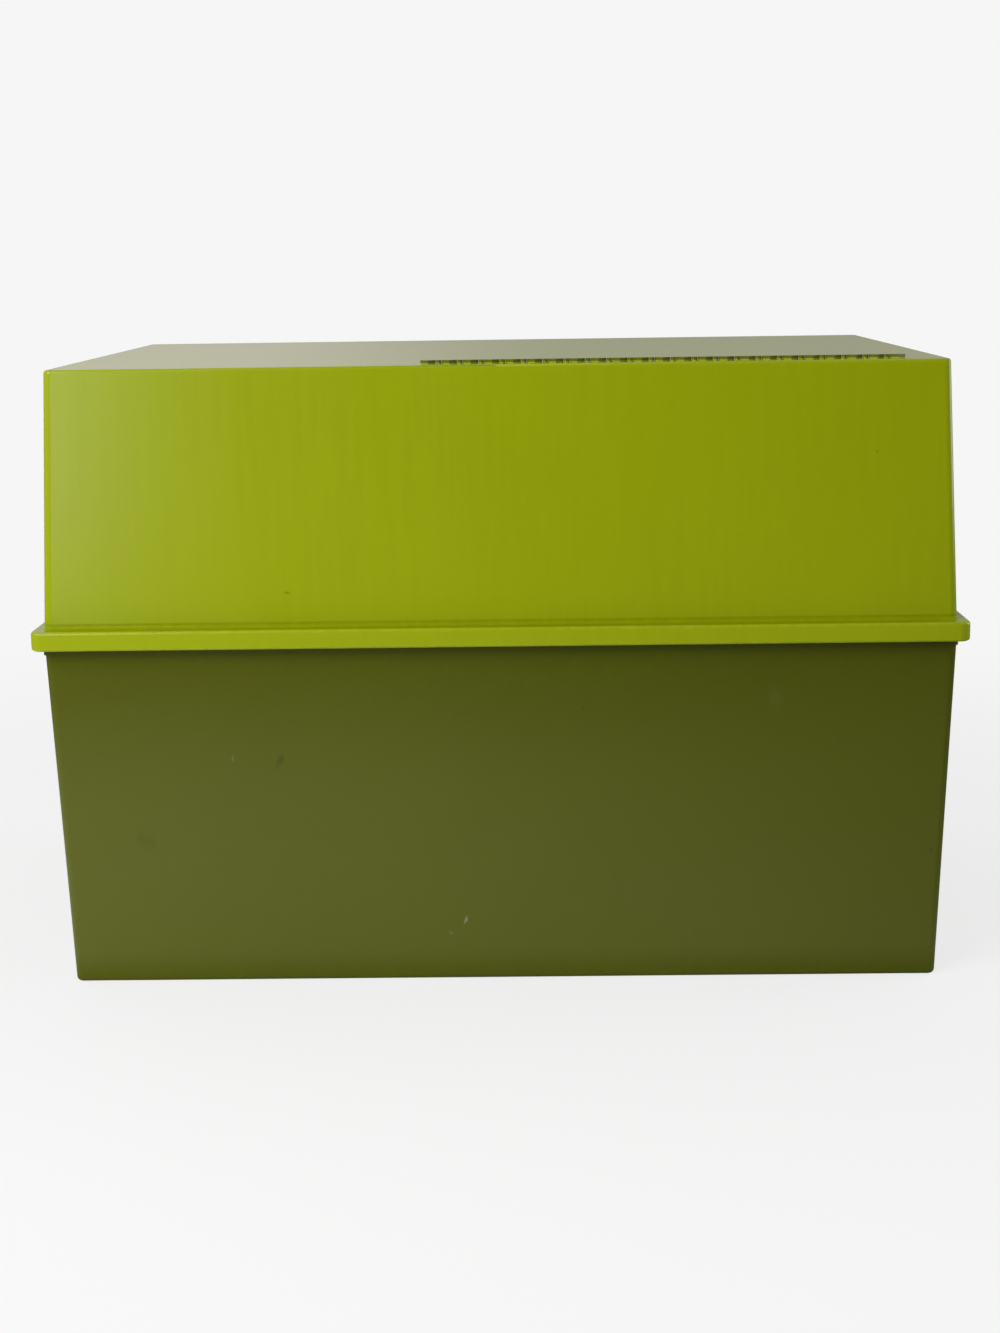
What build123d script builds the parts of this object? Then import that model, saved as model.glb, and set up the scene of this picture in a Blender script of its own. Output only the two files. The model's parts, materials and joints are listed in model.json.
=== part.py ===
from build123d import *
import os
from math import asin, cos, degrees, radians, sin, tan

os.makedirs("parts", exist_ok=True)

# A moulded two-part card file box: a tapered tub, a deep lid whose rim laps over the tub, two
# pinned barrel hinges at the back, and a set of tabbed index guides that fan forward on the floor.
# Millimetres. X is the width, -Y the front, +Z up. The origin is under the middle of the whole box,
# hinges included, on the surface that it stands on. The lid is shut.

# The cards that the box is made for
card_width = 127.0
card_height = 76.2

# Index guides: a card with a tab on top
card_stock = 0.5
card_corner = 2.5
tab_height = 10.0
tab_width = 27.0
tab_lean_in = 2.5
tab_corner = 1.4
tab_inset = 5.0
tab_positions = 4
guide_count = 8
guide_pitch = 3.2
guide_lean = 6.0
guide_foot_gap = 0.3
guide_wall_gap = 1.8

# Room around the cards
card_side_gap = 2.2
file_depth = 89.4
headroom = 5.1

# Tub
tub_wall = 2.0
tub_floor = 2.2
tub_height = 55.8
tub_draft = 1.9
tub_lip_round = 0.4
foot_round = 0.7
foot_ring_width = 4.0
foot_recess = 0.8
bead_proud = 0.25
bead_height = 0.7

# Upright corners of both shells, and the rounding inside between the walls and the closed end
outside_corner = 1.2
inside_corner = 1.8
inside_round = 1.4

# Lid
lid_wall = 2.0
lid_top = 2.0
lid_draft = 2.35
lid_inset = 0.1
lid_edge_round = 0.5
lid_open_angle = 105.0

# Rim of the lid, a skirt that laps over the top of the tub, with a deeper lip at the front to lift it by
rim_height = 3.0
rim_lap = 2.0
front_lip = 1.1
rim_corner = 1.8
rim_edge_round = 0.45
cove_round = 0.5
skirt_wall = 1.2
skirt_clearance = 0.3
seat_gap = 0.15

# Raised row of lozenges and beads along the front of the lid's top
ornament_relief = 0.6
ornament_length = 71.5
ornament_side_margin = 7.0
ornament_front_margin = 3.2
lozenge_pitch = 3.2
lozenge_half_length = 1.15
lozenge_half_width = 0.9
ornament_bead_radius = 0.4

# Hinges: two stations, each with two knuckles on the tub, one on the lid between them, and a pin.
# A station's middle stands in from the side of the tub, as measured at its floor.
station_inset = 27.7
pin_radius = 1.0
pin_bore_clearance = 0.05
pin_end_recess = 0.3
pin_chamfer = 0.2
barrel_radius = 2.5
barrel_rim_gap = 0.5
axis_below_rim = 0.8
tub_knuckle_length = 5.0
lid_knuckle_length = 8.0
knuckle_gap = 0.3
root_depth = 0.8
gusset_drop = 8.0
gusset_top_gap = 0.3
heel_reach = 3.2
stop_clearance = 0.1

# Where the flat sides of the knuckles' roots run onto the round barrel, in degrees above +Y
gusset_angle = -70.0
heel_angle = -40.0
lid_root_low_angle = 204.0
lid_root_high_angle = 78.0

# Heights
box_height = tub_floor + guide_foot_gap + card_height + tab_height + headroom + lid_top
lid_ceiling = box_height - lid_top
rim_bottom = tub_height - rim_lap
rim_top = rim_bottom + rim_height
seat_height = tub_height + seat_gap
bead_top = rim_bottom - gusset_top_gap


def tub_growth(height):
    return 2 * (height - tub_floor) * tan(radians(tub_draft))


def tub_width(height):
    return card_width + 2 * card_side_gap + 2 * tub_wall + tub_growth(height)


def tub_depth(height):
    return file_depth + 2 * tub_wall + tub_growth(height)


def lid_loss(height):
    return 2 * lid_inset + 2 * (height - seat_height) * tan(radians(lid_draft))


def lid_width(height):
    return tub_width(tub_height) - lid_loss(height)


def lid_depth(height):
    return tub_depth(tub_height) - lid_loss(height)


# The skirt's inside clears the tub, and its outside is the widest part of the box.
pocket_width = tub_width(tub_height) + 2 * skirt_clearance
pocket_depth = tub_depth(tub_height) + 2 * skirt_clearance
rim_width = pocket_width + 2 * skirt_wall
rim_depth = pocket_depth + 2 * skirt_wall

# The hinges stand out further at the back than the lip does at the front, so the middle of the shells
# lies forward of the origin.
axis_behind_rim = barrel_radius + barrel_rim_gap
shell_y = -(axis_behind_rim + heel_reach - front_lip) / 2
rim_back = shell_y + rim_depth / 2
axis_y = rim_back + axis_behind_rim
axis_z = rim_bottom - axis_below_rim

# Hinge stations along X
station_length = 2 * tub_knuckle_length + 2 * knuckle_gap + lid_knuckle_length
station_x = tub_width(tub_floor) / 2 - station_inset
station_starts = [side * station_x - station_length / 2 for side in (-1, 1)]
lid_knuckle_offset = tub_knuckle_length + knuckle_gap
far_knuckle_offset = lid_knuckle_offset + lid_knuckle_length + knuckle_gap

# The stop heel's face lies just short of the plane that the rim's back reaches when the lid is open.
open_turn = radians(lid_open_angle)
heel_face_distance = axis_behind_rim - stop_clearance
heel_face_start = (-heel_face_distance * cos(open_turn), heel_face_distance * sin(open_turn))
heel_corner_z = (heel_face_distance + heel_reach * cos(open_turn)) / sin(open_turn)
gusset_top = rim_bottom - gusset_top_gap
gusset_foot = axis_z - gusset_drop

# Ornament: the number of lozenges that its length takes, and its middle
lozenge_count = int(ornament_length / lozenge_pitch) + 1
ornament_x = lid_width(box_height) / 2 - ornament_side_margin - ornament_length / 2
ornament_y = ornament_front_margin - lid_depth(box_height) / 2


def level(height):
    return Plane(origin=(0, shell_y, height))


def across(x):
    return Plane.YZ.offset(x)


def tub_back(height):
    return shell_y + tub_depth(height) / 2


def on_barrel(angle):
    turn = radians(angle)
    return (axis_y + barrel_radius * cos(turn), axis_z + barrel_radius * sin(turn))


def ledge_of(part):
    flat_faces = part.faces().filter_by(Axis.Z)
    return flat_faces.sort_by(lambda face: abs(face.center().Z - rim_top))[0]


# Tub
with BuildPart() as tub_cavity:
    for height in (tub_floor, tub_height):
        width, depth = (size(height) - 2 * tub_wall for size in (tub_width, tub_depth))
        with BuildSketch(level(height)):
            RectangleRounded(width, depth, inside_corner)
    loft(ruled=True)
    fillet(tub_cavity.edges().group_by(Axis.Z)[0], inside_round)

with BuildPart() as base_tub:
    for height in (0, tub_height):
        with BuildSketch(level(height)):
            RectangleRounded(tub_width(height), tub_depth(height), outside_corner)
    loft(ruled=True)
    fillet(base_tub.edges().group_by(Axis.Z)[0], foot_round)

    # Seating bead just under the lid's rim
    with BuildSketch(level(bead_top - bead_height)):
        RectangleRounded(
            tub_width(bead_top) + 2 * bead_proud,
            tub_depth(bead_top) + 2 * bead_proud,
            outside_corner + bead_proud,
        )
    extrude(amount=bead_height)

    # Inside, rounded lip, and the recess that leaves a foot ring
    add(tub_cavity.part, mode=Mode.SUBTRACT)
    fillet(base_tub.edges().group_by(Axis.Z)[-1], tub_lip_round)
    with BuildSketch(level(0)):
        RectangleRounded(
            tub_width(0) - 2 * foot_ring_width,
            tub_depth(0) - 2 * foot_ring_width,
            inside_corner,
        )
    extrude(amount=foot_recess, mode=Mode.SUBTRACT)

    # Outer knuckles with their gussets and stop heels
    for start in station_starts:
        for offset in (0, far_knuckle_offset):
            with BuildSketch(across(start + offset)):
                with Locations((axis_y, axis_z)):
                    Circle(barrel_radius)
                Polygon(
                    (axis_y, axis_z),
                    on_barrel(heel_angle),
                    (axis_y + heel_reach, axis_z),
                    (axis_y + heel_reach, axis_z + heel_corner_z),
                    (axis_y + heel_face_start[0], axis_z + heel_face_start[1]),
                )
                Polygon(
                    (tub_back(gusset_top) - root_depth, gusset_top),
                    (tub_back(gusset_foot) - root_depth, gusset_foot),
                    on_barrel(gusset_angle),
                    (axis_y, gusset_top),
                )
            extrude(amount=tub_knuckle_length)
        with BuildSketch(across(start)):
            with Locations((axis_y, axis_z)):
                Circle(pin_radius)
        extrude(amount=station_length, mode=Mode.SUBTRACT)

base_tub.part.label = "base_tub"
export_step(base_tub.part, "parts/base_tub.step")


# Lid
with BuildPart() as lid_cavity:
    for height in (seat_height, lid_ceiling):
        width, depth = (size(height) - 2 * lid_wall for size in (lid_width, lid_depth))
        with BuildSketch(level(height)):
            RectangleRounded(width, depth, inside_corner)
    loft(ruled=True)
    fillet(lid_cavity.edges().group_by(Axis.Z)[-1], inside_round)
    with BuildSketch(level(rim_bottom)):
        RectangleRounded(pocket_width, pocket_depth, outside_corner + skirt_clearance)
    extrude(amount=seat_height - rim_bottom)

with BuildPart() as lid:
    for height in (rim_top, box_height):
        with BuildSketch(level(height)):
            RectangleRounded(lid_width(height), lid_depth(height), outside_corner)
    loft(ruled=True)
    fillet(lid.edges().group_by(Axis.Z)[-1], lid_edge_round)

    # Rim, with rounded edges and a cove where the wall rises from its ledge
    with BuildSketch(level(rim_bottom)):
        with Locations((0, -front_lip / 2)):
            RectangleRounded(rim_width, rim_depth + front_lip, rim_corner)
    extrude(amount=rim_height)
    fillet(lid.edges().group_by(Axis.Z)[0], rim_edge_round)
    fillet(ledge_of(lid).outer_wire().edges(), rim_edge_round)
    fillet(ledge_of(lid).inner_wires()[0].edges(), cove_round)
    add(lid_cavity.part, mode=Mode.SUBTRACT)

    # Raised ornament
    with BuildSketch(level(box_height)):
        with Locations((ornament_x, ornament_y)):
            with GridLocations(lozenge_pitch, 0, lozenge_count, 1):
                Polygon(
                    (-lozenge_half_length, 0),
                    (0, -lozenge_half_width),
                    (lozenge_half_length, 0),
                    (0, lozenge_half_width),
                )
            with GridLocations(lozenge_pitch, 0, lozenge_count - 1, 1):
                Circle(ornament_bead_radius)
    extrude(amount=ornament_relief)

    # Middle knuckles
    for start in station_starts:
        with BuildSketch(across(start + lid_knuckle_offset)):
            with Locations((axis_y, axis_z)):
                Circle(barrel_radius)
            Polygon(
                (axis_y, axis_z),
                on_barrel(lid_root_high_angle),
                (rim_back - root_depth, rim_top - rim_edge_round),
                (rim_back - root_depth, rim_bottom + rim_edge_round),
                (rim_back, rim_bottom),
                on_barrel(lid_root_low_angle),
            )
        extrude(amount=lid_knuckle_length)
        with BuildSketch(across(start + lid_knuckle_offset)):
            with Locations((axis_y, axis_z)):
                Circle(pin_radius + pin_bore_clearance)
        extrude(amount=lid_knuckle_length, mode=Mode.SUBTRACT)

lid.part.label = "lid"
export_step(lid.part, "parts/lid.step")


# Hinge pins
def make_hinge_pin(name, start):
    with BuildPart() as hinge_pin:
        with BuildSketch(across(start + pin_end_recess)):
            with Locations((axis_y, axis_z)):
                Circle(pin_radius)
        extrude(amount=station_length - 2 * pin_end_recess)
        chamfer(hinge_pin.edges().filter_by(GeomType.CIRCLE), pin_chamfer)
    hinge_pin.part.label = name
    export_step(hinge_pin.part, f"parts/{name}.step")


for name, start in zip(("left_hinge_pin", "right_hinge_pin"), station_starts):
    make_hinge_pin(name, start)


# Index guides, from the front one to the rear one. Each turns on its bottom edge.
lean = radians(guide_lean)
guide_height = card_height + tab_height
guide_foot_z = tub_floor + guide_foot_gap
guide_top_z = guide_foot_z + guide_height * cos(lean)
back_limit = shell_y + lid_depth(guide_top_z) / 2 - lid_wall - guide_wall_gap
rear_guide_y = back_limit - guide_height * sin(lean) - card_stock / 2
guide_y = [rear_guide_y - guide_pitch * places for places in reversed(range(guide_count))]

# Furthest swing of the front guide, with its tab just short of the closed lid's front wall
front_limit = shell_y - lid_depth(seat_height + tab_height) / 2 + lid_wall + guide_wall_gap
fan_swing = guide_lean + degrees(asin((guide_y[0] - card_stock - front_limit) / guide_height))

tab_step = (card_width - 2 * tab_inset - tab_width) / (tab_positions - 1)


def make_index_guide(name, foot_y, tab_place):
    tab_left = tab_inset - card_width / 2 + tab_step * tab_place
    tab_right = tab_left + tab_width
    sheet = Plane(
        origin=(0, foot_y, guide_foot_z),
        x_dir=(1, 0, 0),
        z_dir=(0, -cos(lean), sin(lean)),
    )
    with BuildPart() as index_guide:
        with BuildSketch(sheet) as outline:
            with Locations((0, card_height / 2)):
                RectangleRounded(card_width, card_height, card_corner)
            Polygon(
                (tab_left, card_height - card_corner),
                (tab_right, card_height - card_corner),
                (tab_right, card_height),
                (tab_right - tab_lean_in, guide_height),
                (tab_left + tab_lean_in, guide_height),
                (tab_left, card_height),
            )
            fillet(outline.vertices().group_by(Axis.Y)[-1], tab_corner)
        extrude(amount=card_stock / 2, both=True)
    index_guide.part.label = name
    export_step(index_guide.part, f"parts/{name}.step")


for order, foot_y in enumerate(guide_y):
    make_index_guide(f"index_guide_{order + 1}", foot_y, order % tab_positions)

print("rim width", round(rim_width, 2), "rim depth", round(rim_depth + front_lip, 2))
print("height", round(box_height, 2), "middle of the shells y", round(shell_y, 3))
print("hinge axis y", round(axis_y, 3), "z", round(axis_z, 3))
print("guide feet y", [round(y, 3) for y in guide_y], "z", round(guide_foot_z, 3))
print("front guide's swing", round(fan_swing, 2))
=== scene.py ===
"""A moulded card file box: its plastic, steel and card finishes, its index guides and its stage."""

import json
import math
from typing import NamedTuple

import bmesh
import bpy
from bpy.props import FloatProperty, FloatVectorProperty, IntProperty, PointerProperty
from mathutils import Matrix, Vector


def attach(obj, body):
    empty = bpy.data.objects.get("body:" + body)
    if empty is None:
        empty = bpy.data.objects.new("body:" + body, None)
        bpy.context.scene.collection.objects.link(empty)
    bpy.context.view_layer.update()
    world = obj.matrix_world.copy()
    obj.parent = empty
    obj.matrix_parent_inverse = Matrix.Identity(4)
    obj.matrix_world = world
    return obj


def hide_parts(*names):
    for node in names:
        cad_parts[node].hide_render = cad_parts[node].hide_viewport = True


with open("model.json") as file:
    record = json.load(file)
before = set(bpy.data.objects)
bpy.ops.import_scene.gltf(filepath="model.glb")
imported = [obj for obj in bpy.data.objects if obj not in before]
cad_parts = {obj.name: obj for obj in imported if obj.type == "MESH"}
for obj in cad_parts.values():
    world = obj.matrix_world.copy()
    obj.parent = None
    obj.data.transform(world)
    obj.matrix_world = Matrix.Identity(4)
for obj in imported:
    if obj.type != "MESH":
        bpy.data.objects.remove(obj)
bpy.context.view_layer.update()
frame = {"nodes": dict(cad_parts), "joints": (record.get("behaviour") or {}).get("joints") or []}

bl_info = {
    "name": "Card File Box",
    "version": (1, 0, 0),
    "blender": (4, 5, 0),
    "location": "3D Viewport > Sidebar > Card Box",
    "description": "Finishes a moulded card file box, fills it with index guides and stages it",
    "category": "Object",
}

GUIDES = sorted(name for name in frame["nodes"] if name.startswith("index_guide_"))
PINS = sorted(name for name in frame["nodes"] if name.endswith("_hinge_pin"))
JOINT_PLACES = {joint["name"]: Vector(joint["pos_m"]) for joint in frame["joints"]}

# Levels and sizes of the CAD shells that the finishes follow, in metres
FOOT_RECESS = 0.0008
TUB_FLOOR = 0.0022
RIM_BOTTOM = 0.0538
RIM_TOP = 0.0568
LID_CEILING = 0.0938
LID_TOP = 0.0958
SHELL_MIDDLE_Y = -0.00255
RIM_HALF_WIDTH = 0.07098
RIM_FRONT_Y = -0.05363

# Heights and depths of the plastics' fine relief, in metres
GRAIN_HEIGHT = 0.000002
STREAK_HEIGHT = 0.000003
DENT_DEPTH = 0.000008
RING_DEPTH = 0.0001
MARK_DEPTH = 0.0008

# How high the painted shade at the foot reaches, and how strong it is there beside the painted
# shade along the rim
FOOT_SHADE_HEIGHT = 0.006
FOOT_SHADE_SHARE = 0.8

# How far up and down the broad streaks move the roughness, where streaks show in full
ROUGHNESS_SWING = 0.024

# How far down from a guide's upper edge the lacquer on its tab reaches
LACQUER_DEPTH = 0.003

# Directions between which the studio's light changes, as components of a unit vector
MIRRORED_LEFT_TO_RIGHT = (-0.14, 0.03)
MIRRORED_FRONT_TO_BACK = (-0.95, -0.7)
LIT_FRONT_TO_BACK = (-0.2, 0.7)
LIT_LEFT_TO_RIGHT = (0.5, 0.95)


# Short forms of Blender's properties


def colour_property(name, description, default):
    return FloatVectorProperty(
        name=name, description=description, subtype="COLOR", size=3, min=0, max=1, default=default
    )


def length_property(name, description, default):
    return FloatProperty(
        name=name, description=description, subtype="DISTANCE", unit="LENGTH", default=default
    )


def angle_property(name, description, degrees):
    return FloatProperty(
        name=name,
        description=description,
        subtype="ANGLE",
        unit="ROTATION",
        default=math.radians(degrees),
    )


def factor_property(name, description, default):
    return FloatProperty(
        name=name, description=description, subtype="FACTOR", min=0, max=1, default=default
    )


def strength_property(name, description, default):
    return FloatProperty(name=name, description=description, min=0, default=default)


def place_property(name, description, default):
    return FloatVectorProperty(
        name=name,
        description=description,
        subtype="TRANSLATION",
        unit="LENGTH",
        size=3,
        default=default,
    )


def power_property(name, description, default):
    return FloatProperty(
        name=name, description=description, subtype="POWER", unit="POWER", min=0, default=default
    )


# Sizes and colours that a user would change


class PlasticFinish:
    """What the two plastics share."""

    specular: factor_property("Specular", "Strength of the surface's own reflection", 0.24)
    mottle: factor_property("Mottle", "How far the colour wanders from place to place", 0.035)
    waviness: length_property("Waviness", "Height of the slow waves that shrinkage leaves", 0.00008)
    # Strength of the shade painted along the rim and towards the tub's foot
    painted_shade: factor_property("Grime", "How much dirt has gathered along the rim", 0.3)


class LidFinish(PlasticFinish, bpy.types.PropertyGroup):
    colour: colour_property("Colour", "Lime of the lid", (0.274, 0.331, 0.0012))
    streaks: factor_property("Streaks", "How far the fine upright streaks show", 0.5)
    roughness: factor_property("Roughness", "Roughness of the clean surface", 0.2)


class TubFinish(PlasticFinish, bpy.types.PropertyGroup):
    colour: colour_property("Colour", "Olive of the tub", (0.085, 0.0968, 0.0055))
    streaks: factor_property("Streaks", "How far the fine upright streaks show", 0.04)
    roughness: factor_property("Roughness", "Roughness of the clean surface", 0.28)


class GuideSizes(bpy.types.PropertyGroup):
    card_width: length_property("Card Width", "Width of an index guide", 0.127)
    card_height: length_property("Card Height", "Height of a guide without its tab", 0.0762)
    card_stock: length_property("Card Stock", "Thickness of the card", 0.0005)
    card_corner: length_property("Card Corner", "Radius of the card's corners", 0.0025)
    tab_height: length_property("Tab Height", "How far a tab stands above the card", 0.01)
    tab_width: length_property("Tab Width", "Width of a tab at its foot", 0.027)
    tab_lean_in: length_property("Tab Lean-In", "How far each side of a tab leans in", 0.0025)
    tab_corner: length_property("Tab Corner", "Radius of a tab's upper corners", 0.0014)
    tab_inset: length_property("Tab Inset", "From the card's side to the outermost tab", 0.005)
    tab_positions: IntProperty(
        name="Tab Positions",
        description="Number of places that the tabs are staggered over",
        min=1,
        default=4,
    )
    lean: angle_property("Lean", "How far the guides lean back at rest", 6)
    curl: length_property("Curl", "How far the card strays from flat", 0.0007)
    colour: colour_property("Colour", "Buff of the card", (0.72, 0.6, 0.4))


class StageSettings(bpy.types.PropertyGroup):
    camera_place: place_property(
        "Camera Place", "Where the camera stands", (0.00483, -0.36642, 0.11183)
    )
    camera_yaw: angle_property("Camera Yaw", "Turn of the camera to the right", -0.87)
    camera_pitch: angle_property("Camera Pitch", "Tilt of the camera upwards", -11.03)
    camera_roll: angle_property("Camera Roll", "Turn of the picture about the line of sight", -0.81)
    lens: FloatProperty(
        name="Lens",
        description="Focal length on a 36 mm sensor",
        subtype="DISTANCE_CAMERA",
        unit="CAMERA",
        min=1,
        default=57.08,
    )
    background: colour_property("Background", "Floor and backdrop", (0.92, 0.92, 0.92))
    room_light: strength_property(
        "Room Light", "Strength of the even light from the front and the left", 0.25
    )
    backdrop_light: strength_property(
        "Backdrop Light", "Strength of the even light from the back and the right", 1.05
    )
    mirrored_left: factor_property(
        "Mirrored Left", "Brightness of the backdrop's left side, as the box reflects it", 0.765
    )
    mirrored_right: factor_property(
        "Mirrored Right", "Brightness of the backdrop's right side, as the box reflects it", 0.465
    )
    mirrored_colour: colour_property(
        "Mirrored Colour", "Colour of the backdrop, as the box reflects it", (0.91, 0.85, 0.92)
    )
    mirrored_front: factor_property(
        "Mirrored Front", "Brightness of the room in front, as the box reflects it", 0.02
    )
    floor_size: length_property("Floor Size", "Length of each side of the floor", 12)
    floor_shadow: factor_property("Floor Shadow", "Strength of the shadow on the floor", 0.2)
    shadow_reach: length_property(
        "Shadow Reach", "How far from the middle of the floor the shadow keeps its strength", 0.1
    )
    shadow_end: length_property("Shadow End", "How far out the shadow has faded away", 0.3)
    near_bounce: factor_property(
        "Near Bounce", "Share of light that the floor gives back at the box", 0.9
    )
    far_bounce: factor_property(
        "Far Bounce", "Share of light that the floor gives back away from it", 0.2
    )
    bounce_centre: place_property("Bounce Centre", "Middle of the near bounce", (-0.06, -0.03, 0))
    near_bounce_reach: length_property("Near Bounce Reach", "Radius of the near bounce", 0.07)
    far_bounce_start: length_property(
        "Far Bounce Start", "How far from its middle the near bounce has given way", 0.2
    )
    light_target: place_property(
        "Light Target", "What all soft lights point at", (0, -0.05, 0.06)
    )
    key_power: power_property("Key Power", "Power of the soft light at the left front", 1.355)
    key_place: place_property(
        "Key Place", "Middle of the soft light at the left front", (-0.23, -0.29, 0.235)
    )
    key_width: length_property("Key Width", "Width of the soft light at the left front", 0.28)
    key_height: length_property("Key Height", "Height of the soft light at the left front", 0.2)
    strip_power: power_property(
        "Strip Power", "Power of the far strip that glosses the left edge", 0.46
    )
    strip_place: place_property("Strip Place", "Middle of the far strip", (-0.305, -1.0, 0.122))
    strip_width: length_property("Strip Width", "Width of the far strip", 0.05)
    strip_height: length_property("Strip Height", "Height of the far strip", 0.24)
    fill_power: power_property("Fill Power", "Power of the soft light at the right", 0.8)
    fill_place: place_property(
        "Fill Place", "Middle of the soft light at the right", (0.5, 0.06, 0.14)
    )
    fill_width: length_property("Fill Width", "Width of the soft light at the right", 0.3)
    fill_height: length_property("Fill Height", "Height of the soft light at the right", 0.2)


# Traces that use and moulding have left on the plastic, with the shade and highlights painted into
# its colour


class Mark(NamedTuple):
    """A small ragged spot on the front."""

    x: float
    z: float
    width: float
    height: float
    strength: float
    lighter: bool = False
    turn: float = 0.0


class Band(NamedTuple):
    """A run of levels, with the heights over which it fades in and out."""

    low: float
    high: float
    rise: float
    fall: float


class EjectorRings(NamedTuple):
    """Ring marks on a level inner face, mirrored from left to right and from front to back."""

    level: float
    half_span_x: float
    half_span_y: float
    radius: float


class Traces(NamedTuple):
    """Where one piece of plastic is marked and rubbed, and where its colour holds painted shade and
    painted highlights.
    """

    marks: tuple
    painted_shade: Band
    rings: tuple
    rubbed_and_highlit_levels: tuple = ()
    painted_shade_from: float | None = None


LID_TRACES = Traces(
    marks=(
        Mark(-0.0321, 0.0620, 0.0009, 0.0004, 0.4),
        Mark(0.0568, 0.0822, 0.0005, 0.0005, 0.4),
    ),
    # Painted shade in the cove where the lid's wall meets the rim's ledge
    painted_shade=Band(RIM_TOP - 0.0001, RIM_TOP + 0.0009, rise=0.0002, fall=0.0002),
    rings=(
        EjectorRings(LID_CEILING, 0.046, 0.031, 0.0025),
        EjectorRings(LID_CEILING, 0.0, 0.031, 0.0025),
    ),
    # The rim's edges, made lighter as wear and as a painted highlight
    rubbed_and_highlit_levels=(RIM_BOTTOM + 0.0002, RIM_TOP - 0.0002),
    # The ornament's upper faces are darkened from this level up, as painted shade
    painted_shade_from=LID_TOP + 0.0001,
)
TUB_TRACES = Traces(
    marks=(
        Mark(-0.0413, 0.0362, 0.0004, 0.0009, 0.3, lighter=True),
        Mark(-0.0340, 0.0358, 0.0008, 0.0026, 0.36, turn=0.5),
        Mark(-0.0554, 0.0231, 0.0036, 0.0024, 0.14),
        Mark(-0.0059, 0.0097, 0.0005, 0.0014, 0.8, lighter=True, turn=0.4),
        Mark(-0.0083, 0.0076, 0.0008, 0.0006, 0.3, lighter=True),
        Mark(0.0664, 0.0204, 0.0005, 0.0007, 0.5),
        Mark(0.0127, 0.0437, 0.0004, 0.0004, 0.4),
        Mark(0.0420, 0.0450, 0.0022, 0.0036, 0.04, lighter=True),
    ),
    # Painted shadow under the rim. The rise ends above the rim's foot, so that the painted shadow
    # below it stays weak
    painted_shade=Band(RIM_BOTTOM - 0.026, RIM_BOTTOM + 0.003, rise=0.036, fall=0.006),
    rings=(
        EjectorRings(TUB_FLOOR, 0.05, 0.034, 0.003),
        EjectorRings(FOOT_RECESS, 0.0, 0.0, 0.0035),
    ),
)


# Shading


def is_socket(value):
    return isinstance(value, bpy.types.NodeSocket)


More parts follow.
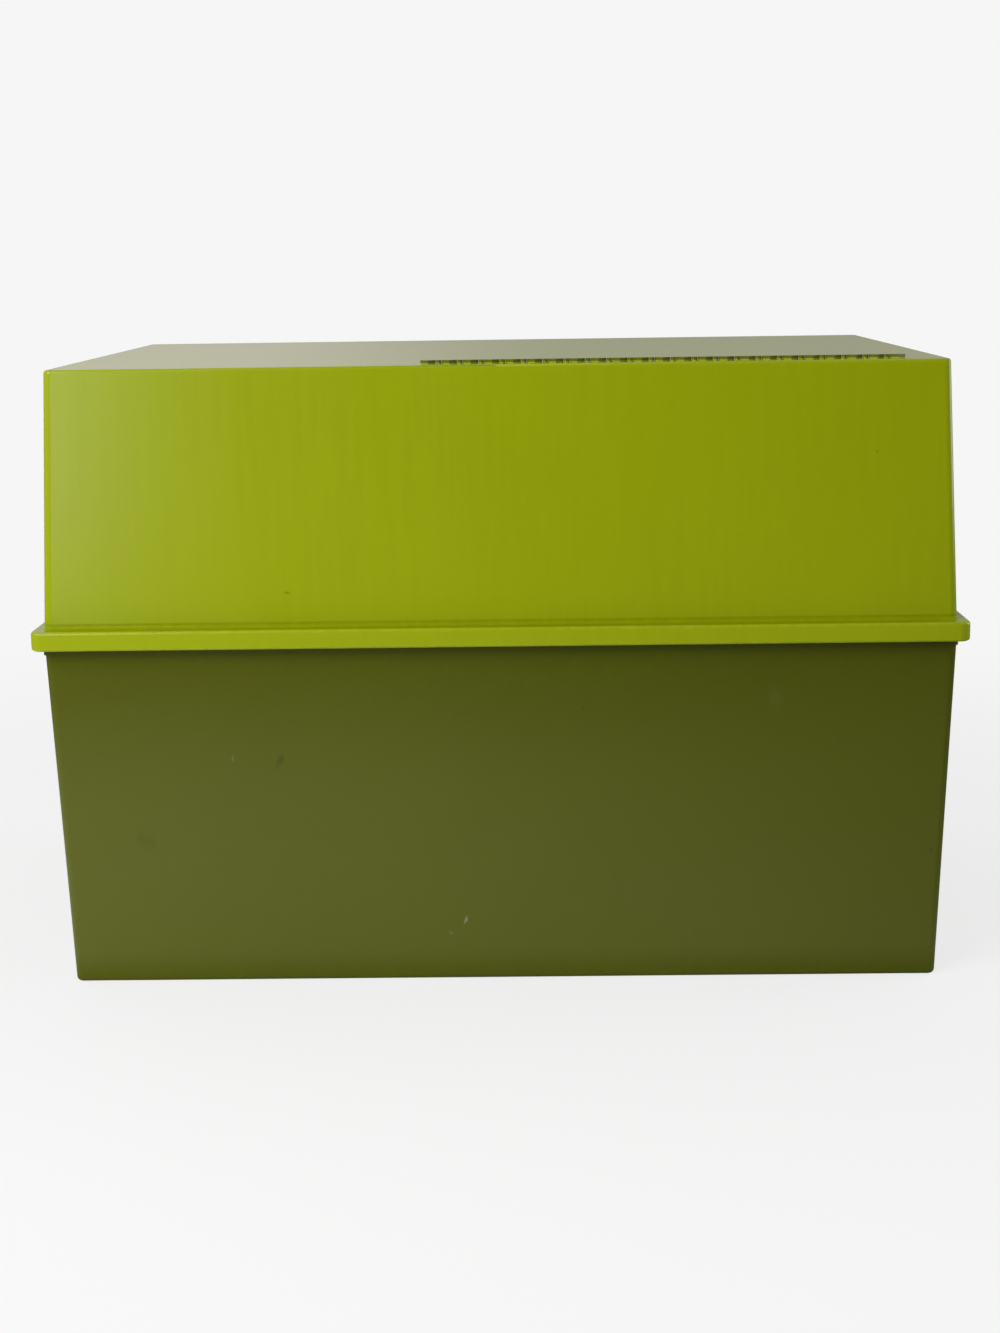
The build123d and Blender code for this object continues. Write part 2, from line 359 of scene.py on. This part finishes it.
class Shading:
    """A node tree that is being wired up, with short calls for what the finishes need."""

    def __init__(self, owner):
        owner.use_nodes = True
        self.tree = owner.node_tree
        self.tree.nodes.clear()

    def node(self, kind, inputs=None, **settings):
        node = self.tree.nodes.new(kind)
        for name, value in settings.items():
            setattr(node, name, value)
        for name, value in (inputs or {}).items():
            self.feed(node.inputs[name], value)
        return node

    def feed(self, socket, value):
        """Links a socket to another, or sets it to a number, a vector or a colour."""
        if is_socket(value):
            self.tree.links.new(value, socket)
        elif socket.type == "RGBA":
            socket.default_value = (*value, 1)
        else:
            socket.default_value = value

    def math(self, operation, first, second=0.0):
        node = self.node("ShaderNodeMath", {0: first, 1: second}, operation=operation)
        return node.outputs["Value"]

    def product(self, first, second):
        return self.math("MULTIPLY", first, second)

    def difference(self, first, second):
        return self.math("SUBTRACT", first, second)

    def larger(self, first, second):
        return self.math("MAXIMUM", first, second)

    def size_of(self, value):
        """A value without its sign."""
        return self.math("ABSOLUTE", value)

    def spread(self, value, low, high, to_low=0.0, to_high=1.0):
        """Maps a value between two levels to another range, with soft ends."""
        levels = {
            "Value": value,
            "From Min": low,
            "From Max": high,
            "To Min": to_low,
            "To Max": to_high,
        }
        node = self.node("ShaderNodeMapRange", levels, interpolation_type="SMOOTHSTEP")
        return node.outputs["Result"]

    def wander(self, noise, to_low=0.0, to_high=1.0):
        """Spreads a noise, which seldom leaves 0.3 to 0.7, over another range."""
        return self.spread(noise, 0.3, 0.7, to_low, to_high)

    def band(self, value, low, high, rise, fall=None):
        """1 between two levels, with soft edges inside them."""
        fall = rise if fall is None else fall
        lower = self.spread(value, low, low + rise)
        return self.product(lower, self.spread(value, high - fall, high, 1.0, 0.0))

    def mix(self, factor, first, second):
        inputs = {0: factor, 6: first, 7: second}
        return self.node("ShaderNodeMix", inputs, data_type="RGBA").outputs[2]

    def split(self, vector):
        return self.node("ShaderNodeSeparateXYZ", {"Vector": vector}).outputs

    def length(self, vector):
        node = self.node("ShaderNodeVectorMath", {0: vector}, operation="LENGTH")
        return node.outputs["Value"]

    def distance(self, first, second):
        inputs = {0: first, 1: second}
        step = self.node("ShaderNodeVectorMath", inputs, operation="SUBTRACT")
        return self.length(step.outputs["Vector"])

    def noise(self, where, size, detail=2.0, roughness=0.5, stretch=(1, 1, 1)):
        """Clouds whose blotches are about that size across."""
        placed = self.node("ShaderNodeMapping", {"Vector": where, "Scale": stretch})
        inputs = {
            "Vector": placed.outputs["Vector"],
            "Scale": 1 / size,
            "Detail": detail,
            "Roughness": roughness,
        }
        return self.node("ShaderNodeTexNoise", inputs).outputs["Fac"]

    def specks(self, where, spacing, radius, share):
        """Small round specks, in that share of the cells of a grid of that spacing."""
        cells = self.node("ShaderNodeTexVoronoi", {"Vector": where, "Scale": 1 / spacing})
        reach = radius / spacing
        inside = self.spread(cells.outputs["Distance"], 0.6 * reach, reach, 1.0, 0.0)
        dice = self.node("ShaderNodeSeparateColor", {"Color": cells.outputs["Color"]})
        chosen = self.math("LESS_THAN", dice.outputs["Red"], share)
        return self.product(inside, chosen)

    def hairlines(self, where, spacing, width, cover):
        """Fine broken scratches along the borders of cells of that spacing."""
        turned = self.node("ShaderNodeMapping", {"Vector": where, "Rotation": (0.8, 0.6, 0.0)})
        inputs = {"Vector": turned.outputs["Vector"], "Scale": 1 / spacing}
        cells = self.node(
            "ShaderNodeTexVoronoi", inputs, feature="DISTANCE_TO_EDGE", voronoi_dimensions="2D"
        )
        reach = width / spacing
        line = self.spread(cells.outputs["Distance"], 0.3 * reach, reach, 1.0, 0.0)
        patches = self.noise(where, 0.4 * spacing, detail=1.0)
        return self.product(line, self.spread(patches, 1 - cover, 1.08 - cover))

    def blemish(self, where, ragged, centre, mark):
        """The mark's strength inside a ragged oval on the surface, and 0 outside it."""
        inputs = {
            "Vector": where,
            "Location": centre,
            "Rotation": (0, mark.turn, 0),
            "Scale": (mark.width / 2, MARK_DEPTH, mark.height / 2),
        }
        placed = self.node("ShaderNodeMapping", inputs, vector_type="TEXTURE")
        distance = self.math("ADD", self.length(placed.outputs["Vector"]), ragged)
        return self.product(self.spread(distance, 0.6, 1.2, 1.0, 0.0), mark.strength)

    def bump(self, height, distance, normal=None):
        """Relief for a height between 0 and 1 that stands for a distance in metres."""
        inputs = {"Height": height, "Strength": 1.0, "Distance": distance}
        if normal is not None:
            inputs["Normal"] = normal
        return self.node("ShaderNodeBump", inputs).outputs["Normal"]

    def ray_kinds(self):
        """1 for the rays that show the background, and 1 for those of them that are reflections."""
        path = self.node("ShaderNodeLightPath").outputs
        straight = self.larger(path["Is Camera Ray"], path["Is Transmission Ray"])
        return self.larger(straight, path["Is Glossy Ray"]), path["Is Glossy Ray"]

    def arrange(self):
        """Lays the nodes out from right to left by how far they stand from the output."""
        depth = {node: 0 for node in self.tree.nodes}
        for _ in self.tree.nodes:
            for link in self.tree.links:
                depth[link.from_node] = max(depth[link.from_node], depth[link.to_node] + 1)
        taken = {}
        for node, steps in depth.items():
            node.location = (-220 * steps, -300 * taken.get(steps, 0))
            taken[steps] = taken.get(steps, 0) + 1


def surface(name):
    """A new material, its shading, its Principled shader and its Object coordinates."""
    material = bpy.data.materials.new(name)
    shading = Shading(material)
    shader = shading.node("ShaderNodeBsdfPrincipled")
    shading.node("ShaderNodeOutputMaterial", {"Surface": shader.outputs["BSDF"]})
    where = shading.node("ShaderNodeTexCoord").outputs["Object"]
    return material, shading, shader, where


def scaled(colour, factor):
    return [min(1.0, factor * channel) for channel in colour]


def raised(colour, step):
    return [channel + step for channel in colour]


def facing_front(node_name, mark):
    """The point of a CAD node's front that lies at a mark's width and height."""
    start = Vector((mark.x, -1, mark.z))
    found, point, _, _ = frame["nodes"][node_name].ray_cast(start, Vector((0, 1, 0)))
    if not found:
        raise RuntimeError(f"no surface of {node_name} at {mark}")
    return point


class MouldedPlastic:
    """Semi-gloss moulded plastic with draw streaks, scratches, specks, marks, rubbed edges and
    painted shade.
    """

    def __init__(self, name, node_name, finish, traces):
        self.node_name = node_name
        self.finish = finish
        self.traces = traces
        self.material, self.shading, shader, self.where = surface(name)
        self.axes = self.shading.split(self.where)
        self.lay_patterns()
        self.shading.feed(shader.inputs["Base Color"], self.colour())
        self.shading.feed(shader.inputs["Roughness"], self.roughness())
        # The socket's own level is what a model without the link falls back to
        reflection = shader.inputs["Specular IOR Level"]
        reflection.default_value = finish.specular
        self.shading.feed(reflection, self.gloss())
        self.shading.feed(shader.inputs["Normal"], self.relief())
        self.shading.arrange()

    def lay_patterns(self):
        shading, where = self.shading, self.where
        facing = shading.split(shading.node("ShaderNodeTexCoord").outputs["Normal"])
        upright = shading.spread(shading.size_of(facing["Z"]), 0.2, 0.6, 1.0, 0.0)
        streaks = shading.noise(where, 0.0013, roughness=0.6, stretch=(1, 1, 0.05))
        broad_streaks = shading.noise(where, 0.006, detail=1.0, stretch=(1, 1, 0.08))
        self.streaks = shading.product(streaks, upright)
        self.broad_streaks = shading.product(broad_streaks, upright)
        self.clouds = shading.noise(where, 0.05)
        self.waves = shading.noise(where, 0.06, detail=1.0)
        self.fine = shading.noise(where, 0.0012, detail=3.0, roughness=0.6)
        self.grain = shading.noise(where, 0.0005)
        self.scratches = shading.hairlines(where, spacing=0.017, width=0.00008, cover=0.2)
        self.specks = shading.specks(where, spacing=0.011, radius=0.00018, share=0.06)
        # Painted shade: in the lid's cove, under the tub's rim, and darker towards the tub's foot
        rim_shade = shading.band(self.axes["Z"], *self.traces.painted_shade)
        foot_shade = shading.spread(self.axes["Z"], 0.0, FOOT_SHADE_HEIGHT, FOOT_SHADE_SHARE, 0.0)
        self.painted_shade_mask = shading.larger(rim_shade, foot_shade)

    def colour(self):
        """The plastic's own colour, then its painted shade and wear with painted highlights, then
        its scratches and spots.
        """
        shading, own = self.shading, self.finish.colour
        mottle, dark = self.finish.mottle, scaled(own, 0.3)
        colour = shading.mix(shading.wander(self.clouds), own, scaled(own, 1 - mottle))
        streaked = shading.wander(self.streaks, 0, self.finish.streaks)
        colour = shading.mix(streaked, colour, scaled(own, 1 + mottle))
        # Painted shade along the rim and at the foot, a little mottled
        painted_shade = shading.spread(self.fine, 0.2, 0.6, 0.6 * self.finish.painted_shade, self.finish.painted_shade)
        colour = shading.mix(shading.product(self.painted_shade_mask, painted_shade), colour, dark)
        # Painted shade on the ornament's upper faces
        painted_shade_from = self.traces.painted_shade_from
        if painted_shade_from is not None:
            ornament_shade = shading.spread(self.axes["Z"], painted_shade_from, painted_shade_from + 0.00015, 0, 0.75)
            colour = shading.mix(ornament_shade, colour, scaled(own, 0.15))
        # Lighter rim face and edges: partly wear, partly painted highlight
        colour = shading.mix(self.rubbed_and_highlit_edges(), colour, raised(scaled(own, 1.35), 0.01))
        colour = shading.mix(shading.product(self.scratches, 0.1), colour, raised(own, 0.04))
        colour = shading.mix(shading.product(self.specks, 0.6), colour, dark)
        ragged = shading.wander(self.fine, -0.35, 0.35)
        for mark in self.traces.marks:
            centre = facing_front(self.node_name, mark)
            spot = shading.blemish(self.where, ragged, centre, mark)
            colour = shading.mix(spot, colour, raised(own, 0.12) if mark.lighter else dark)
        return colour

    def rubbed_and_highlit_edges(self):
        """How far handling has rubbed the rim's face, most of all along its edges, where the
        lighter colour is also a painted highlight.
        """
        shading, axes = self.shading, self.axes
        side = shading.difference(shading.size_of(axes["X"]), RIM_HALF_WIDTH)
        front = shading.difference(RIM_FRONT_Y, axes["Y"])
        reach, fade = 0.0005, 0.0003
        rubbed_and_highlit = 0.0
        for level in self.traces.rubbed_and_highlit_levels:
            edge = shading.band(axes["Z"], level - reach, level + reach, fade)
            rubbed_and_highlit = shading.larger(edge, rubbed_and_highlit)
        rubbed_and_highlit = shading.product(rubbed_and_highlit, shading.spread(self.fine, 0.35, 0.6, 0.05, 0.26))
        rim = shading.band(axes["Z"], RIM_BOTTOM - 0.0001, RIM_TOP + 0.0001, fade)
        rubbed_and_highlit = shading.larger(rubbed_and_highlit, shading.product(rim, 0.1))
        outwards = shading.larger(side, front)
        return shading.product(rubbed_and_highlit, shading.spread(outwards, -0.0009, -0.0004))

    def roughness(self):
        swing = ROUGHNESS_SWING * self.finish.streaks
        smoothest, roughest = self.finish.roughness - swing, self.finish.roughness + swing
        rough = self.shading.wander(self.broad_streaks, smoothest, roughest)
        return self.shading.math("ADD", rough, self.shading.product(self.scratches, 0.08))

    def gloss(self):
        """Strength of the reflection, which is dulled where shade is painted."""
        clean = self.finish.specular
        return self.shading.spread(self.painted_shade_mask, 0, 1, clean, 0.2 * clean)

    def relief(self):
        """Waves, grain, streaks, scratches with specks, and ejector rings, one on the other."""
        shading = self.shading
        normal = shading.bump(self.waves, self.finish.waviness)
        normal = shading.bump(self.grain, GRAIN_HEIGHT, normal)
        normal = shading.bump(self.streaks, STREAK_HEIGHT * self.finish.streaks, normal)
        dents = shading.math("ADD", self.scratches, self.specks)
        normal = shading.bump(shading.difference(1.0, dents), DENT_DEPTH, normal)
        ring_marks = 0.0
        for rings in self.traces.rings:
            ring_marks = shading.larger(self.ejector_rings(rings), ring_marks)
        return shading.bump(shading.difference(1.0, ring_marks), RING_DEPTH, normal)

    def ejector_rings(self, rings):
        shading, axes = self.shading, self.axes
        x = shading.difference(shading.size_of(axes["X"]), rings.half_span_x)
        y = shading.size_of(shading.difference(axes["Y"], SHELL_MIDDLE_Y))
        y = shading.difference(y, rings.half_span_y)
        across = shading.node("ShaderNodeCombineXYZ", {"X": x, "Y": y}).outputs["Vector"]
        inner, outer = rings.radius - 0.0003, rings.radius + 0.0002
        ring = shading.band(shading.length(across), inner, outer, 0.0001)
        on_level = shading.band(axes["Z"], rings.level - 0.0002, rings.level + 0.0002, 0.0001)
        return shading.product(ring, on_level)


def card_material(name, colour, tab_level):
    """Buff card with long fibres and flecks, lacquered from a level upwards."""
    material, shading, shader, where = surface(name)
    height = shading.split(where)["Z"]
    fibres = shading.noise(where, 0.0008, detail=3.0, roughness=0.6, stretch=(0.5, 1, 1))
    blotches = shading.noise(where, 0.014, detail=3.0)
    specks = shading.specks(where, spacing=0.0022, radius=0.00016, share=0.35)
    lacquer = shading.spread(height, tab_level - 0.0002, tab_level)

    shade = shading.mix(shading.spread(fibres, 0.35, 0.7), colour, scaled(colour, 0.9))
    soiled = [0.86 * colour[0], 0.82 * colour[1], 0.74 * colour[2]]
    shade = shading.mix(shading.spread(blotches, 0.4, 0.75, 0, 0.35), shade, soiled)
    shade = shading.mix(shading.product(specks, 0.55), shade, scaled(colour, 0.35))
    lacquered = [0.7 * colour[0], 0.5 * colour[1], 0.3 * colour[2]]
    shade = shading.mix(shading.product(lacquer, 0.35), shade, lacquered)
    shading.feed(shader.inputs["Base Color"], shade)
    shading.feed(shader.inputs["Roughness"], shading.spread(lacquer, 0, 1, 0.82, 0.36))
    shader.inputs["Specular IOR Level"].default_value = 0.3
    shading.feed(shader.inputs["Normal"], shading.bump(fibres, 0.00003))
    shading.arrange()
    return material


def pin_steel_material():
    """Drawn steel wire, brushed along its length and dulled in places."""
    material, shading, shader, where = surface("pin_steel")
    drawn = shading.noise(where, 0.0002, roughness=0.6, stretch=(0.05, 1, 1))
    dull = shading.noise(where, 0.003, detail=3.0)
    clean_steel, dulled_steel = (0.62, 0.61, 0.58), (0.4, 0.35, 0.29)
    colour = shading.mix(shading.spread(dull, 0.5, 0.8), clean_steel, dulled_steel)
    shading.feed(shader.inputs["Base Color"], colour)
    shading.feed(shader.inputs["Roughness"], shading.wander(drawn, 0.26, 0.44))
    shader.inputs["Metallic"].default_value = 1
    shading.feed(shader.inputs["Normal"], shading.bump(drawn, 0.000006))
    shading.arrange()
    return material


def floor_material(stage):
    """Pale floor with a light shadow near the box, which runs into the background away from it."""
    material = bpy.data.materials.new("floor")
    shading = Shading(material)
    where = shading.node("ShaderNodeTexCoord").outputs["Object"]
    bounce = shading.spread(
        shading.distance(where, stage.bounce_centre),
        stage.near_bounce_reach,
        stage.far_bounce_start,
        stage.near_bounce,
        stage.far_bounce,
    )
    backdrop_share = shading.spread(
        shading.length(where), stage.shadow_reach, stage.shadow_end, 1 - stage.floor_shadow, 1
    )
    shown, gloss = shading.ray_kinds()
    straight = shading.difference(shown, gloss)
    channels = {"Red": bounce, "Green": bounce, "Blue": bounce}
    bounced = shading.node("ShaderNodeCombineColor", channels)
    paper_colour = shading.mix(straight, bounced.outputs["Color"], scaled(stage.background, 0.9))
    paper = shading.node("ShaderNodeBsdfDiffuse", {"Color": paper_colour})
    backdrop = shading.node("ShaderNodeEmission", {"Color": stage.background})
    factor = shading.product(backdrop_share, straight)
    mix = shading.node(
        "ShaderNodeMixShader",
        {0: factor, 1: paper.outputs["BSDF"], 2: backdrop.outputs["Emission"]},
    )
    shading.node("ShaderNodeOutputMaterial", {"Surface": mix.outputs["Shader"]})
    shading.arrange()
    return material


def studio_world(stage):
    """Even light, stronger from the back and right, and a backdrop, dimmer in reflections."""
    world = bpy.data.worlds.new("studio")
    shading = Shading(world)
    direction = shading.split(shading.node("ShaderNodeTexCoord").outputs["Generated"])
    side = shading.spread(
        direction["X"], *MIRRORED_LEFT_TO_RIGHT, stage.mirrored_left, stage.mirrored_right
    )
    depth = shading.spread(direction["Y"], *MIRRORED_FRONT_TO_BACK, stage.mirrored_front, 1)
    mirrored = shading.product(depth, side)
    light_levels = (stage.room_light, stage.backdrop_light)
    backing = shading.larger(
        shading.spread(direction["Y"], *LIT_FRONT_TO_BACK, *light_levels),
        shading.spread(direction["X"], *LIT_LEFT_TO_RIGHT, *light_levels),
    )
    shown, gloss = shading.ray_kinds()
    dimming = shading.product(shading.difference(1.0, mirrored), gloss)
    light = shading.node("ShaderNodeBackground", {"Color": (1, 1, 1), "Strength": backing})
    seen = shading.mix(gloss, stage.background, stage.mirrored_colour)
    backdrop = shading.node(
        "ShaderNodeBackground", {"Color": seen, "Strength": shading.difference(1.0, dimming)}
    )
    mix = shading.node(
        "ShaderNodeMixShader",
        {0: shown, 1: light.outputs["Background"], 2: backdrop.outputs["Background"]},
    )
    shading.node("ShaderNodeOutputWorld", {"Surface": mix.outputs["Shader"]})
    shading.arrange()
    return world


# Modelling


def dress(node_name, material):
    """Gives a CAD node its finish."""
    slots = frame["nodes"][node_name].data.materials
    slots.clear()
    slots.append(material)


def select_only(mesh_object):
    bpy.ops.object.select_all(action="DESELECT")
    mesh_object.select_set(True)
    bpy.context.view_layer.objects.active = mesh_object


def select_vertices(mesh_object, chosen):
    """Selects the vertices that a test picks by their place, in edit mode."""
    bpy.ops.mesh.select_all(action="DESELECT")
    mesh = bmesh.from_edit_mesh(mesh_object.data)
    for vertex in mesh.verts:
        vertex.select_set(chosen(vertex.co))
    mesh.select_flush(True)
    bmesh.update_edit_mesh(mesh_object.data)


def cut_across(along, places):
    """Cuts the whole flat sheet straight across at those places."""
    for place in places:
        bpy.ops.mesh.select_all(action="SELECT")
        bpy.ops.mesh.bisect(plane_co=along * place, plane_no=along)


def same(first, second):
    return abs(first - second) < 1e-5


def make_guide_sheet(sizes, tab_place):
    """A flat guide that lies on the ground with its foot on the X axis and its tab away from it."""
    half = sizes.card_width / 2
    step = (sizes.card_width - 2 * sizes.tab_inset - sizes.tab_width) / (sizes.tab_positions - 1)
    tab_left = sizes.tab_inset - half + step * tab_place
    tab_right = tab_left + sizes.tab_width
    tab_top = sizes.card_height + sizes.tab_height

    def at_tab_foot(co):
        return same(co.y, sizes.card_height) and (same(co.x, tab_left) or same(co.x, tab_right))

    def at_card_corner(co):
        return same(abs(co.x), half) and (same(co.y, 0) or same(co.y, sizes.card_height))

    bpy.ops.object.select_all(action="DESELECT")
    bpy.ops.mesh.primitive_plane_add(size=1, location=(0, sizes.card_height / 2, 0))
    sheet = bpy.context.active_object
    sheet.scale = (sizes.card_width, sizes.card_height, 1)
    bpy.ops.object.transform_apply(location=True, rotation=True, scale=True)

    bpy.ops.object.mode_set(mode="EDIT")
    cut_across(Vector((1, 0, 0)), (tab_left, tab_right))
    select_vertices(sheet, at_tab_foot)
    bpy.ops.mesh.extrude_region_move(TRANSFORM_OT_translate={"value": (0, sizes.tab_height, 0)})
    narrower = 1 - 2 * sizes.tab_lean_in / sizes.tab_width
    bpy.ops.transform.resize(value=(narrower, 1, 1))
    select_vertices(sheet, at_card_corner)
    bpy.ops.mesh.bevel(affect="VERTICES", offset=sizes.card_corner, segments=6)
    select_vertices(sheet, lambda co: same(co.y, tab_top))
    bpy.ops.mesh.bevel(affect="VERTICES", offset=sizes.tab_corner, segments=4)
    columns, rows = 18, 12
    cut_across(Vector((1, 0, 0)), [half * (2 * n / columns - 1) for n in range(1, columns)])
    cut_across(Vector((0, 1, 0)), [sizes.card_height * n / rows for n in range(1, rows + 1)])
    bpy.ops.object.mode_set(mode="OBJECT")
    return sheet


def finish_guide(sheet, name, foot, sizes, paper_waves):
    """Stands a flat guide on its foot, lets it curl and gives it its thickness."""
    sheet.name = name
    sheet.data.name = name
    sheet.rotation_euler.x = math.pi / 2 - sizes.lean
    sheet.location = foot
    select_only(sheet)
    bpy.ops.object.transform_apply(location=True, rotation=True, scale=True)
    curl = sheet.modifiers.new("curl", "DISPLACE")
    curl.texture = paper_waves
    curl.texture_coords = "LOCAL"
    curl.strength = sizes.curl
    curl.mid_level = 0.5
    wall = sheet.modifiers.new("card_stock", "SOLIDIFY")
    wall.thickness = sizes.card_stock
    wall.offset = 0
    wall.use_even_offset = True
    edge = sheet.modifiers.new("cut_edge", "BEVEL")
    edge.width = 0.12 * sizes.card_stock
    edge.segments = 2
    edge.limit_method = "ANGLE"
    edge.angle_limit = math.radians(50)
    for modifier in list(sheet.modifiers):
        bpy.ops.object.modifier_apply(modifier=modifier.name)
    bpy.ops.object.shade_smooth_by_angle(angle=math.radians(35))


# Stage


def lay_floor(stage):
    bpy.ops.object.select_all(action="DESELECT")
    bpy.ops.mesh.primitive_plane_add(size=stage.floor_size)
    floor = bpy.context.active_object
    floor.name = "floor"
    floor.data.materials.append(floor_material(stage))


def hang_softbox(name, target, place, width, height, power):
    """A soft light that points at a target and doesn't show itself to the camera."""
    bpy.ops.object.light_add(type="AREA", location=place)
    light = bpy.context.active_object
    light.name = name
    light.data.name = name
    light.data.shape = "RECTANGLE"
    light.data.size = width
    light.data.size_y = height
    light.data.energy = power
    light.visible_camera = False
    light.rotation_euler = (target - light.location).to_track_quat("-Z", "Y").to_euler()


def hang_lights(stage):
    key = (stage.key_place, stage.key_width, stage.key_height, stage.key_power)
    strip = (stage.strip_place, stage.strip_width, stage.strip_height, stage.strip_power)
    fill = (stage.fill_place, stage.fill_width, stage.fill_height, stage.fill_power)
    for name, settings in (("key_light", key), ("strip_light", strip), ("fill_light", fill)):
        hang_softbox(name, stage.light_target, *settings)


def set_up_camera(stage):
    bpy.ops.object.camera_add(location=stage.camera_place)
    camera = bpy.context.active_object
    camera.name = "camera"
    camera.data.lens = stage.lens
    camera.data.sensor_width = 36
    camera.data.clip_start = 0.01
    turn = (
        Matrix.Rotation(-stage.camera_yaw, 4, "Z")
        @ Matrix.Rotation(math.pi / 2 + stage.camera_pitch, 4, "X")
        @ Matrix.Rotation(stage.camera_roll, 4, "Z")
    )
    camera.rotation_euler = turn.to_euler()
    bpy.context.scene.camera = camera


# Operators


class CARDBOX_OT_finish_lid(bpy.types.Operator):
    """Give the lid its lime plastic"""

    bl_idname = "card_box.finish_lid"
    bl_label = "Finish Lid"

    def execute(self, context):
        plastic = MouldedPlastic("lid_plastic", "lid", context.scene.card_box_lid, LID_TRACES)
        dress("lid", plastic.material)
        return {"FINISHED"}


class CARDBOX_OT_finish_tub(bpy.types.Operator):
    """Give the tub its olive plastic"""

    bl_idname = "card_box.finish_tub"
    bl_label = "Finish Tub"

    def execute(self, context):
        plastic = MouldedPlastic("tub_plastic", "base_tub", context.scene.card_box_tub, TUB_TRACES)
        dress("base_tub", plastic.material)
        return {"FINISHED"}


class CARDBOX_OT_finish_pins(bpy.types.Operator):
    """Give the hinge pins their drawn steel"""

    bl_idname = "card_box.finish_pins"
    bl_label = "Finish Hinge Pins"

    def execute(self, context):
        steel = pin_steel_material()
        for name in PINS:
            dress(name, steel)
        return {"FINISHED"}


class CARDBOX_OT_make_guides(bpy.types.Operator):
    """Model the index guides as slightly curled card and put each in its node's place"""

    bl_idname = "card_box.make_guides"
    bl_label = "Make Index Guides"

    def execute(self, context):
        sizes = context.scene.card_box_guides
        waves = bpy.data.textures.new("paper_waves", "CLOUDS")
        waves.noise_scale = 0.07
        waves.noise_depth = 0
        foot_level = JOINT_PLACES[f"{GUIDES[0]}_tilt"].z
        tab_level = foot_level + (sizes.card_height - LACQUER_DEPTH) * math.cos(sizes.lean)
        card = card_material("guide_card", sizes.colour, tab_level)
        sheets = [make_guide_sheet(sizes, place) for place in range(sizes.tab_positions)]
        for order, name in enumerate(GUIDES):
            guide = sheets[order % sizes.tab_positions].copy()
            guide.data = guide.data.copy()
            context.collection.objects.link(guide)
            finish_guide(guide, f"{name}_card", JOINT_PLACES[f"{name}_tilt"], sizes, waves)
            guide.data.materials.append(card)
            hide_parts(name)
            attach(guide, name)
        for sheet in sheets:
            bpy.data.objects.remove(sheet)
        return {"FINISHED"}


class CARDBOX_OT_make_stage(bpy.types.Operator):
    """Lay the floor, hang the lights and set up the camera"""

    bl_idname = "card_box.make_stage"
    bl_label = "Make Stage"

    def execute(self, context):
        stage = context.scene.card_box_stage
        lay_floor(stage)
        hang_lights(stage)
        context.scene.world = studio_world(stage)
        set_up_camera(stage)
        context.scene.view_settings.view_transform = "Standard"
        return {"FINISHED"}


class CARDBOX_PT_sidebar(bpy.types.Panel):
    """The steps of the card box, in the order in which they are run"""

    bl_idname = "CARDBOX_PT_sidebar"
    bl_label = "Card File Box"
    bl_space_type = "VIEW_3D"
    bl_region_type = "UI"
    bl_category = "Card Box"

    def draw(self, context):
        for operator in OPERATORS:
            self.layout.operator(operator.bl_idname)


OPERATORS = (
    CARDBOX_OT_finish_lid,
    CARDBOX_OT_finish_tub,
    CARDBOX_OT_finish_pins,
    CARDBOX_OT_make_guides,
    CARDBOX_OT_make_stage,
)
SETTINGS = {
    "card_box_lid": LidFinish,
    "card_box_tub": TubFinish,
    "card_box_guides": GuideSizes,
    "card_box_stage": StageSettings,
}
CLASSES = (*SETTINGS.values(), *OPERATORS, CARDBOX_PT_sidebar)


def register():
    for cls in CLASSES:
        bpy.utils.register_class(cls)
    for name, group in SETTINGS.items():
        setattr(bpy.types.Scene, name, PointerProperty(type=group))


def unregister():
    for name in SETTINGS:
        delattr(bpy.types.Scene, name)
    for cls in reversed(CLASSES):
        bpy.utils.unregister_class(cls)


def main():
    register()
    bpy.ops.card_box.finish_lid()
    bpy.ops.card_box.finish_tub()
    bpy.ops.card_box.finish_pins()
    bpy.ops.card_box.make_guides()
    bpy.ops.card_box.make_stage()


if __name__ == "__main__":
    main()
